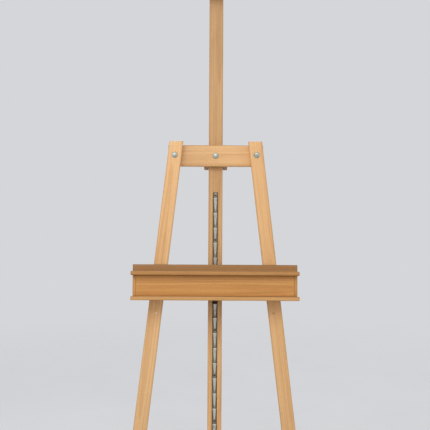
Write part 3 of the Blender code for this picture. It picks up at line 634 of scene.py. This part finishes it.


def tooth(bm, layers, top, length, face, tall):
    """A pressed half cone on the strip's face: an open shelf with a rolled lip on top, tapering to a tail."""
    sweep = [math.pi * i / 14 for i in range(15)]

    def ring(down, half, rise):
        points = []
        for angle in sweep:
            foot = angle == 0.0 or angle > math.pi * 0.999
            y = face + TOOTH_SINK if foot else face - rise * math.sin(angle)
            points.append(bm.verts.new((half * math.cos(angle), y, top - down)))
        return points

    def section(down):
        share = down / length
        half = TOOTH_HALF_WIDTH + (TAIL_HALF_WIDTH - TOOTH_HALF_WIDTH) * share
        return half, tall + (TAIL_HEIGHT - tall) * share

    stations = [0.0, 0.0006, 0.0016, 0.0028, 0.0040, 0.0070, 0.012, 0.018, 0.024, 0.030]
    stations += [length - 0.002, length]
    outer = []
    for down in stations:
        half, rise = section(down)
        lip = LIP * math.exp(-((down - LIP_BELOW_TOP) / LIP_BELOW_TOP) ** 2)
        lip -= TOP_ROUNDING if down == 0.0 else 0.0
        outer.append(ring(down, half + lip, rise + lip))
    inner = []
    for down in (0.0, 0.004, HOLLOW_DEPTH):
        half, rise = section(down)
        flattened = 0.25 if down == HOLLOW_DEPTH else 1.0
        inner.append(ring(down, half - TOOTH_WALL, (rise - TOOTH_WALL) * flattened))
    rows = inner[::-1] + outer
    for first, second in zip(rows, rows[1:]):
        for i in range(len(sweep) - 1):
            bm.faces.new((first[i], first[i + 1], second[i + 1], second[i]))
        bm.faces.new((first[0], second[0], second[-1], first[-1]))
    bm.faces.new(rows[0])
    bm.faces.new(rows[-1][::-1])

    bare_and_lit, polish_and_highlight = layers
    for down, row in zip(stations, outer):
        for angle, vertex in zip(sweep, row):
            # Dirt and painted shade: each tooth's flanks and its tail take the dirt tint, while its front stays
            # clean and lit.
            clean_and_lit = math.sin(angle) ** 0.8 * (1.0 - 0.6 * (down / length) ** 8)
            vertex[bare_and_lit] = max(PLATE_BARE_AND_LIT, clean_and_lit)
            # Painted highlight along the top lip, strongest at the tooth's front; the pawl also rubs the metal
            # here.
            vertex[polish_and_highlight] = max(0.0, 1.0 - down / POLISH_AND_HIGHLIGHT_LENGTH) * math.sin(angle)


def ratchet_strip():
    """The toothed strip: a thin plate with pressed teeth, its screws let in between them."""
    low, high = span("ratchet_strip")
    screws = [sum(corner.z for corner in span(f"strip_screw_{i}")) / 2 for i in range(1, 7)]
    pitch = (screws[1] - screws[0]) / SCREW_EVERY
    first_top = low.z + STRIP_BELOW_FIRST_TOP
    count = int(round((high.z - STRIP_ABOVE_LAST_TOP - first_top) / pitch)) + 1
    plate_face = high.y - STRIP_THICK
    bm = bmesh.new()
    box(bm, (low.x, plate_face, low.z), high)
    round_edges(bm, 0.0004, 2)
    slice_along(bm, 2, low.z, high.z, 0.02)
    slice_along(bm, 0, low.x, high.x, 0.0014)
    layers = [bm.verts.layers.float.new(name) for name in ("bare_and_lit", "polish_and_highlight")]
    for vertex in bm.verts:
        # Dirt and painted shade: the plate darkens towards its sides, beside the groove's walls.
        vertex[layers[0]] = PLATE_BARE_AND_LIT * (1.0 - (vertex.co.x / high.x) ** 2)
    for i in range(count):
        top = first_top + i * pitch
        above_screw = any(0.0 < top - screw < pitch for screw in screws)
        length = SHORT_TOOTH_LENGTH if above_screw else TOOTH_LENGTH
        tooth(bm, layers, top, length, plate_face, plate_face - low.y)
    add_piece("ratchet_strip_steel", bm, LEAN, "frame", ["ratchet_strip"], RACK, 40.0)


# Fasteners

DOME_ANGLES = (0.35, 0.7, 1.05, 1.35, 1.57)
DOME_BASE, DOME_RISE = 0.12, 0.35  # of a screw head of radius 1
RECESS_HALF_LENGTH, RECESS_HALF_WIDTH = 0.52, 0.085
WOOD_SCREW_HEAD = 0.0018
STRIP_SCREW_HEAD = 0.0014
SHANK_SHARE = 0.48


def screw_head_mesh():
    """A domed head of radius 1 standing on height 0, with a cross recess."""
    dome = [(math.sin(a) * 0.97, DOME_BASE + DOME_RISE * math.cos(a)) for a in DOME_ANGLES]
    rim = [(1.0, 0.08), (1.0, 0.02), (0.96, 0.0), (0.0, 0.0)]
    bm = lathe(bmesh.new(), [(0.0, DOME_BASE + DOME_RISE)] + dome + rim, 40)
    for x, y in ((RECESS_HALF_LENGTH, RECESS_HALF_WIDTH), (RECESS_HALF_WIDTH, RECESS_HALF_LENGTH)):
        cutter = bmesh.new()
        box(cutter, (-x, -y, DOME_BASE), (x, y, 0.8))
        bm = subtract(bm, cutter)
    mesh = bpy.data.meshes.new("screw_head")
    bm.to_mesh(mesh)
    bm.free()
    return mesh


SCREW_HEAD = screw_head_mesh()


def cross_screw(node, body, axis, side, head, material):
    """A cross-recessed screw whose head, head high, looks along axis, to the low or high side."""
    low, high = span(node)
    radius = (high.z - low.z) / 2
    at = (low + high) / 2
    at[axis] = high[axis] - head if side > 0 else low[axis] + head
    bm = bmesh.new()
    bm.from_mesh(SCREW_HEAD)
    turn = Matrix.Rotation(RANDOM.uniform(0.0, math.pi), 4, "Z")
    size = Matrix.Diagonal((radius, radius, head / (DOME_BASE + DOME_RISE), 1.0))
    bmesh.ops.transform(bm, matrix=turn @ size, verts=bm.verts)
    shank = SHANK_SHARE * radius
    length = high[axis] - low[axis] - head
    grooves = thread(shank, -0.0006, -length + 2.5 * shank, 0.0009, 0.0004)
    join(bm, lathe(bmesh.new(), [(0.0, 0.0004), (shank, 0.0004)] + grooves + [(0.0, -length)], 20))
    add_piece(node + "_head", bm, aim(at, direction(axis, side)), body, [node], material)


HEXAGON_CHAMFER = 0.0009
HEXAGON_CHAMFER_SLOPE = 1.7


def hexagon(bm, width, low, high):
    """A six-sided prism of that width across its corners, its outer corners cut back by a cone."""
    corner = width / 2
    bmesh.ops.create_cone(
        bm,
        cap_ends=True,
        segments=6,
        radius1=corner,
        radius2=corner,
        depth=high - low,
        matrix=Matrix.Translation((0.0, 0.0, (low + high) / 2)),
    )
    for i in range(6):
        angle = math.pi / 3 * i
        outwards = Vector((math.sin(angle), math.cos(angle), 0.0))
        for end, sign in ((low, -1.0), (high, 1.0)):
            point = outwards * (corner - HEXAGON_CHAMFER) + direction(2) * end
            cut_away(bm, point, (outwards + direction(2, sign * HEXAGON_CHAMFER_SLOPE)).normalized())
    round_edges(bm, 0.00025, 2)


BOLT_HEAD_HEIGHT = 0.0035
BOLT_HEAD_RIM = 0.0006
BOLT_SHANK = 0.003
BOLT_THREAD_LENGTH = 0.0115
NUT_FLANGE_RADIUS = 0.0085
NUT_FLANGE_HEIGHT = 0.0010


def frame_bolt(stem):
    """A carriage bolt with a threaded end, and its flanged nut."""
    bolt, nut = stem + "_bolt", stem + "_nut"
    low, high = span(bolt)
    middle = (low + high) / 2
    head, dome_rise = (high.x - low.x) / 2, BOLT_HEAD_HEIGHT - BOLT_HEAD_RIM
    dome = [(0.0, BOLT_HEAD_HEIGHT)]
    for angle in (0.25, 0.5, 0.8, 1.1, 1.35, 1.57):
        dome.append((head * math.sin(angle) * 0.985, BOLT_HEAD_RIM + dome_rise * math.cos(angle)))
    tip = -(high.y - low.y - BOLT_HEAD_HEIGHT)
    rim = [(head, 0.0004), (head * 0.99, 0.0), (BOLT_SHANK, 0.0)]
    tail = thread(BOLT_SHANK, tip + BOLT_THREAD_LENGTH, tip + 0.0012)
    end = [(BOLT_SHANK - 0.0006, tip + 0.0006), (BOLT_SHANK - 0.0012, tip), (0.0, tip)]
    bm = lathe(bmesh.new(), dome + rim + tail + end, 36)
    place = aim((middle.x, low.y + BOLT_HEAD_HEIGHT, middle.z), -direction(1))
    add_piece(bolt + "_steel", bm, place, "frame", [bolt], ZINC)

    low, high = span(nut)
    middle = (low + high) / 2
    bm = bmesh.new()
    hexagon(bm, max(high.x - low.x, high.z - low.z), NUT_FLANGE_HEIGHT, high.y - low.y)
    wide, tall, edge = NUT_FLANGE_RADIUS, NUT_FLANGE_HEIGHT, 0.0002
    flange = [(0.0, tall + edge), (wide - edge, tall + edge), (wide, tall), (wide, 0.0), (0.0, 0.0)]
    join(bm, lathe(bmesh.new(), flange, 36))
    add_piece(nut + "_steel", bm, aim((middle.x, low.y, middle.z), direction(1)), "frame", [nut], ZINC)


def fasteners():
    for level in ("lower", "top"):
        for side in ("left_leg", "right_leg", "mast"):
            frame_bolt(f"{level}_{side}")
    for number in range(1, 7):
        cross_screw(f"strip_screw_{number}", "frame", 1, -1, STRIP_SCREW_HEAD, BLACKENED)
    for level in ("lower", "upper"):
        for side in ("left", "right"):
            cross_screw(f"carriage_{level}_{side}_screw", "tray", 1, 1, WOOD_SCREW_HEAD, ZINC)
    for side, sign in (("left", -1), ("right", 1)):
        cross_screw(f"hinge_{side}_screw", "frame", 0, sign, WOOD_SCREW_HEAD, ZINC)
        cross_screw(f"holder_{side}_screw", "canvas_holder", 1, 1, WOOD_SCREW_HEAD, ZINC)


# The pawl

SPRING_WIRE_RADIUS = 0.00058
SPRING_TURNS = 5
STEPS_PER_TURN = 26
WIRE_SIDES = 10


def pawl_lever():
    """The CAD pawl with its flat faces made whole and its edges rounded."""
    bm = bmesh.new()
    bm.from_mesh(frame["nodes"]["pawl"].data)
    bmesh.ops.remove_doubles(bm, verts=bm.verts, dist=0.00001)
    bmesh.ops.dissolve_limit(bm, angle_limit=math.radians(1.0), verts=bm.verts, edges=bm.edges)
    round_edges(bm, 0.0006, 2)
    add_piece("pawl_lever", bm, Matrix.Identity(4), "pawl", ["pawl"], BLACKENED)


def pawl_pin():
    """A round pin with chamfered ends."""
    low, high = span("pawl_pin")
    half, radius, edge = (high.x - low.x) / 2, (high.z - low.z) / 2, 0.0005
    profile = [(0.0, half), (radius - edge, half), (radius, half - edge), (radius, edge - half)]
    bm = lathe(bmesh.new(), profile + [(radius - edge, -half), (0.0, -half)], 28)
    add_piece("pawl_pin_steel", bm, aim((low + high) / 2, ACROSS), "tray", ["pawl_pin"], ZINC)


def pawl_spring():
    """A helix of round wire inside the node's ring."""
    low, high = span("pawl_spring")
    wire, steps = SPRING_WIRE_RADIUS, SPRING_TURNS * STEPS_PER_TURN
    coil = (high.z - low.z) / 2 - wire
    length = high.x - low.x - 2 * wire
    middle = (low + high) / 2
    spin = [2 * math.pi * i / WIRE_SIDES for i in range(WIRE_SIDES)]
    bm = bmesh.new()
    rings = []
    for i in range(steps + 1):
        angle = 2 * math.pi * i / STEPS_PER_TURN
        out = Vector((0.0, math.cos(angle), math.sin(angle)))
        centre = Vector((low.x + wire + length * i / steps, middle.y, middle.z)) + coil * out
        rings.append([bm.verts.new(centre + wire * (out * math.cos(a) + ACROSS * math.sin(a))) for a in spin])
    for first, second in zip(rings, rings[1:]):
        bridge(bm, first, second)
    bm.faces.new(rings[0])
    bm.faces.new(rings[-1][::-1])
    add_piece("pawl_spring_wire", bm, LEAN, "pawl", ["pawl_spring"], ZINC)


# The hinge's bolt, washer and wing nut

WASHER_HOLE = 0.0043
PIVOT_RADIUS = 0.004
PIVOT_HEAD_HEIGHT = 0.0055
PIVOT_THREAD_LENGTH = 0.024
HUB_HEIGHT = 0.010
HUB_WIDE, HUB_NARROW, HUB_HOLE = 0.0072, 0.0055, 0.0041
WING_HALF_THICK = 0.0015
WING_TURN = 0.5


def tube(profile, sides=40):
    """A turned ring. Its profile ends where it starts, so the first and last rings of points are made one."""
    bm = lathe(bmesh.new(), profile, sides)
    bmesh.ops.remove_doubles(bm, verts=bm.verts, dist=0.000001)
    return bm


def pivot_washer():
    low, high = span("pivot_washer")
    outer, thick, edge = (high.z - low.z) / 2, high.x - low.x, 0.0003
    profile = [(WASHER_HOLE, thick), (outer - edge, thick), (outer, thick - edge), (outer, edge)]
    bm = tube(profile + [(outer - edge, 0.0), (WASHER_HOLE, 0.0), (WASHER_HOLE, thick)])
    middle = (low + high) / 2
    place = aim((low.x, middle.y, middle.z), ACROSS)
    add_piece("pivot_washer_steel", bm, place, "pivot_washer", ["pivot_washer"], ZINC)


def pivot_bolt():
    """A hex-headed bolt across the hinge, threaded where the wing nut sits."""
    low, high = span("pivot_bolt")
    middle, length = (low + high) / 2, high.x - low.x
    neck = PIVOT_HEAD_HEIGHT - 0.001
    plain_end = length - PIVOT_THREAD_LENGTH
    tail = thread(PIVOT_RADIUS, length - 0.0008, plain_end)
    profile = [(0.0, length), (PIVOT_RADIUS - 0.0011, length)] + tail
    profile += [(PIVOT_RADIUS, plain_end - 0.0005), (PIVOT_RADIUS, neck), (0.0, neck)]
    bm = lathe(bmesh.new(), profile, 32)
    head = bmesh.new()
    hexagon(head, max(high.y - low.y, high.z - low.z), 0.0, PIVOT_HEAD_HEIGHT)
    join(bm, head)
    place = aim((low.x, middle.y, middle.z), ACROSS)
    add_piece("pivot_bolt_steel", bm, place, "frame", ["pivot_bolt"], ZINC)


def wing(side, reach):
    """One rounded wing, no taller than reach."""
    lobe = arc((0.0165, 0.0140), 0.0048, -35.0, 160.0, 12)
    outline = [(0.0045, 0.0010), (0.0095, 0.0028), (0.0150, 0.0062)] + lobe
    outline += [(0.0085, 0.0125), (0.0045, 0.0092)]
    outline = [(side * x, min(z, reach)) for x, z in outline]
    bm = bmesh.new()
    front = [bm.verts.new((x, -WING_HALF_THICK, z)) for x, z in outline]
    back = [bm.verts.new((x, WING_HALF_THICK, z)) for x, z in outline]
    bm.faces.new(front)
    bm.faces.new(back[::-1])
    bridge(bm, front, back)
    bmesh.ops.recalc_face_normals(bm, faces=bm.faces)
    round_edges(bm, 0.0009, 3)
    return bm


def wing_nut():
    """A cast wing nut: a conical hub with two rounded wings."""
    low, high = span("wing_nut")
    at = LEAN.inverted() @ Vector(JOINTS["wing_nut_turn"]["pos_m"])
    edge = 0.0006
    profile = [(HUB_HOLE, HUB_HEIGHT), (HUB_NARROW - edge, HUB_HEIGHT), (HUB_NARROW, HUB_HEIGHT - edge)]
    profile += [(HUB_WIDE, edge), (HUB_WIDE - edge, 0.0), (HUB_HOLE, 0.0), (HUB_HOLE, HUB_HEIGHT)]
    bm = tube(profile)
    for side in (1.0, -1.0):
        join(bm, wing(side, high.x - low.x))
    place = aim((low.x, at.y, at.z), ACROSS) @ Matrix.Rotation(WING_TURN, 4, "Z")
    add_piece("wing_nut_cast", bm, place, "wing_nut", ["wing_nut"], ZINC, 40.0)


# The canvas holder's clamp

KNOB_VALLEY_RADIUS = 0.0155
KNOB_LOBES = 5
KNOB_SIDES = 100
KNOB_ROUNDING = 0.0042
KNOB_RIM_HEIGHT = 0.0012
KNOB_CROWN = 0.0015


def clamp_pad():
    """A round pressure pad. Returns the clamp's axis as a point in leaning coordinates."""
    low, high = span("clamp_pad")
    at = (low + high) / 2
    thick, radius, edge = high.y - low.y, (high.x - low.x) / 2, 0.0004
    profile = [(0.0, thick), (radius - edge, thick), (radius, thick - edge), (radius, edge)]
    bm = lathe(bmesh.new(), profile + [(radius - edge, 0.0), (0.0, 0.0)], 40)
    add_piece("clamp_pad_steel", bm, aim((at.x, low.y, at.z), direction(1)), "clamp_pad", ["clamp_pad"], ZINC)
    return at


def clamp_stud(at):
    low, high = span("clamp_stud")
    length, radius = high.y - low.y, (high.x - low.x) / 2
    profile = [(0.0, length), (radius - 0.0008, length)] + thread(radius, length - 0.0006, 0.0012)
    bm = lathe(bmesh.new(), profile + [(radius - 0.0010, 0.0), (0.0, 0.0)], 32)
    place = aim((at.x, low.y, at.z), direction(1))
    add_piece("clamp_stud_steel", bm, place, "clamp_knob", ["clamp_stud"], ZINC)


def knob_profile(length):
    """Shares of the outline's reach with their heights, from the hollow underside up to the capped top."""
    profile = [(0.30, 0.0), (0.55, 0.0), (0.60, KNOB_RIM_HEIGHT), (0.86, KNOB_RIM_HEIGHT)]
    for angle in (0.5, 1.0, 1.57):
        share = 1.0 - 0.14 * (1 - math.sin(angle))
        profile.append((share, KNOB_RIM_HEIGHT + KNOB_ROUNDING * (1 - math.cos(angle))))
    for angle in (0.0, 0.5, 1.0, 1.57):
        share = 1.0 - 0.22 * (1 - math.cos(angle))
        profile.append((share, length - KNOB_CROWN - KNOB_ROUNDING * (1 - math.sin(angle))))
    profile += [(0.50, length - 0.0006), (0.46, length), (0.42, length - 0.0002), (0.40, length - 0.0016)]
    return profile + [(0.12, length - 0.0012), (0.0, length - 0.0011)]


def knob_reach(share, angle, outer):
    """How far the knob reaches at an angle: lobed on its outside, round towards its middle."""
    inner = KNOB_VALLEY_RADIUS
    lobed = (inner + outer) / 2 + (outer - inner) / 2 * math.cos(KNOB_LOBES * angle)
    blend = min(1.0, max(0.0, (share - 0.5) / 0.3))
    return share * (lobed * blend + inner * (1.0 - blend))


def clamp_knob(at):
    low, high = span("clamp_knob")
    outer = (high.z - low.z) / 2
    angles = [2 * math.pi * i / KNOB_SIDES for i in range(KNOB_SIDES)]
    bm = bmesh.new()
    rings = []
    for share, height in knob_profile(high.y - low.y):
        ring = []
        for angle in angles if share else [0.0]:
            reach = knob_reach(share, angle, outer)
            ring.append(bm.verts.new((reach * math.cos(angle), reach * math.sin(angle), height)))
        rings.append(ring)
    for first, second in zip(rings, rings[1:]):
        bridge(bm, first, second)
    bm.faces.new(rings[0][::-1])
    place = aim((at.x, low.y, at.z), direction(1))
    add_piece("clamp_knob_moulded", bm, place, "clamp_knob", ["clamp_knob"], PLASTIC, 50.0)


# The stage

FLOOR_RADIUS = 3.6
FLOOR_FADES = (1.3, 3.4)  # where the floor starts to fade out, and where it is gone
FLOOR_BELOW = 0.0005
LIT_POINT = (0.0, 0.0, 1.0)
CAMERA_PITCH = math.radians(8.0)
CAMERA_ROLL = math.radians(0.3)
CAMERA_DISTANCE = 4.0
LENS = 104.6
CENTRE_RISE_ABOVE_LEDGE = 0.180
CENTRE_TO_LEFT = 0.0013


def stage_material():
    """A pale floor that fades out to the surroundings at its rim."""
    s = Shader("pale_floor")
    where = s.node("ShaderNodeTexCoord").outputs["Object"]
    mottle = s.noise(where, (3.0, 3.0, 3.0), 4.0)
    s.set(Base_Color=s.mix(mottle, srgb(214, 214, 216), srgb(222, 222, 223)), Roughness=0.7)
    distance = s.node("ShaderNodeVectorMath", {0: where}, operation="LENGTH").outputs["Value"]
    clear = s.node("ShaderNodeBsdfTransparent").outputs[0]
    inputs = {0: s.fade(distance, *FLOOR_FADES), 1: s.surface.outputs[0], 2: clear}
    both = s.node("ShaderNodeMixShader", inputs).outputs[0]
    s.tree.links.new(both, s.tree.nodes["Material Output"].inputs["Surface"])
    return s.material


def floor():
    bm = bmesh.new()
    bmesh.ops.create_circle(bm, cap_ends=True, segments=96, radius=FLOOR_RADIUS)
    mesh = bpy.data.meshes.new("floor")
    bm.to_mesh(mesh)
    bm.free()
    mesh.materials.append(stage_material())
    made = bpy.data.objects.new("floor", mesh)
    made.location = (0.0, 0.0, -FLOOR_BELOW)
    bpy.context.scene.collection.objects.link(made)


def softbox(name, location, size, power):
    light = bpy.data.lights.new(name, "AREA")
    light.shape = "RECTANGLE"
    light.size, light.size_y = size
    light.energy = power
    made = bpy.data.objects.new(name, light)
    made.location = location
    made.rotation_euler = (Vector(LIT_POINT) - Vector(location)).to_track_quat("-Z", "Y").to_euler()
    bpy.context.scene.collection.objects.link(made)


def surroundings():
    world = bpy.data.worlds.new("studio")
    bpy.context.scene.world = world
    world.use_nodes = True
    background = world.node_tree.nodes["Background"]
    background.inputs["Color"].default_value = srgb(213, 214, 217)
    background.inputs["Strength"].default_value = 1.0


def lights():
    softbox("overhead_front", (-0.6, -2.2, 3.2), (2.6, 1.8), 46.0)
    softbox("left_fill", (-3.0, -1.2, 1.7), (1.6, 2.2), 15.0)
    softbox("right_fill", (3.0, -1.4, 1.8), (1.6, 2.2), 17.0)
    softbox("rear_rim", (0.8, 3.0, 2.6), (2.0, 1.6), 14.0)


def camera():
    """Looks at the mast above the tray, tilted a little less than the easel leans."""
    ledge_low, ledge_high = span("tray_ledge")
    target = LEAN @ Vector((-CENTRE_TO_LEFT, ledge_low.y, ledge_high.z + CENTRE_RISE_ABOVE_LEDGE))
    data = bpy.data.cameras.new("camera")
    data.lens = LENS
    data.sensor_width = 36.0
    made = bpy.data.objects.new("camera", data)
    forward = Vector((0.0, math.cos(CAMERA_PITCH), -math.sin(CAMERA_PITCH)))
    turn = forward.to_track_quat("-Z", "Y").to_matrix().to_4x4()
    place = Matrix.Translation(target - forward * CAMERA_DISTANCE)
    made.matrix_world = place @ turn @ Matrix.Rotation(CAMERA_ROLL, 4, "Z")
    bpy.context.scene.collection.objects.link(made)
    bpy.context.scene.camera = made


camera()
floor()
surroundings()
lights()
wooden_pieces()
# The two plugs are alike; the left one is painted pale as a highlight.
leg_plug("left", LEFT_LEG, 1, "pale_plug")
leg_plug("right", RIGHT_LEG, -1, "hidden")
ratchet_strip()
fasteners()
pawl_lever()
pawl_pin()
pawl_spring()
pivot_washer()
pivot_bolt()
wing_nut()
clamp_axis = clamp_pad()
clamp_stud(clamp_axis)
clamp_knob(clamp_axis)

bpy.context.scene.view_settings.view_transform = "Standard"
bpy.context.view_layer.update()
